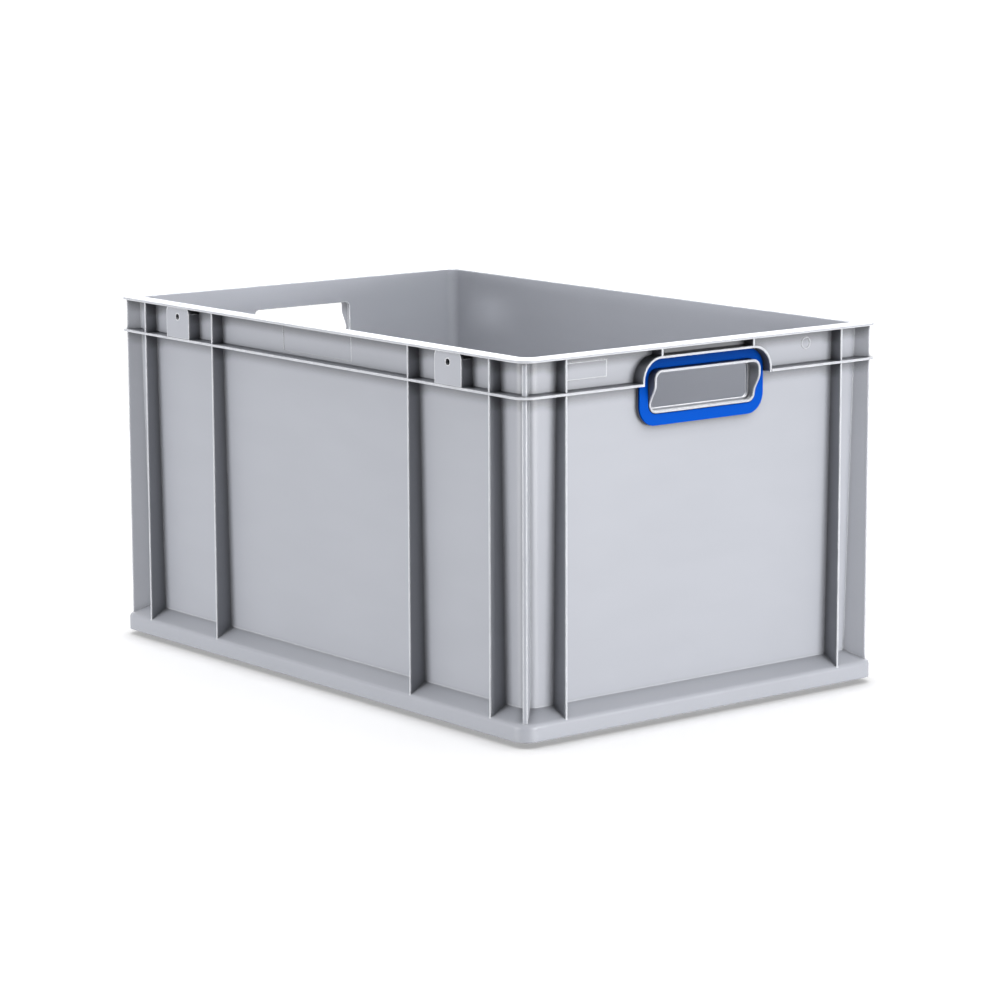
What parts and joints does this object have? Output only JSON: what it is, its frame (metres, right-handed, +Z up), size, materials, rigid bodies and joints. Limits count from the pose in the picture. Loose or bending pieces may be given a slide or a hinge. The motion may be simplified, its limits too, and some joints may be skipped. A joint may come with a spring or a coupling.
{
  "type": "stacking plastic crate",
  "caption": "Open stacking storage crate with drafted ribbed walls, a flat rim, a recessed foot that nests in the crate below and handle holes with clip-on colour frames.",
  "frame": {"origin": "centre of the footprint on the plane that the foot stands on", "axes": "+X along the crate's length towards the right handle, +Y across its width, +Z up towards the open top"},
  "size_m": [0.6, 0.4, 0.32],
  "materials": {
    "crate_plastic": "light grey polypropylene, finely grained mould surface",
    "frame_plastic": "bright blue polypropylene, satin"
  },
  "bodies": {
    "crate": {"crate_body": "crate_plastic"},
    "right_frame": {"handle_frame_right": "frame_plastic"},
    "left_frame": {"handle_frame_left": "frame_plastic"}
  },
  "joints": [
    {"name": "right_frame_clip", "type": "slide", "parent": "crate", "child": "right_frame", "axis": [1, 0, 0], "range_m": [0, 0.012]},
    {"name": "left_frame_clip", "type": "slide", "parent": "crate", "child": "left_frame", "axis": [-1, 0, 0], "range_m": [0, 0.012]}
  ]
}
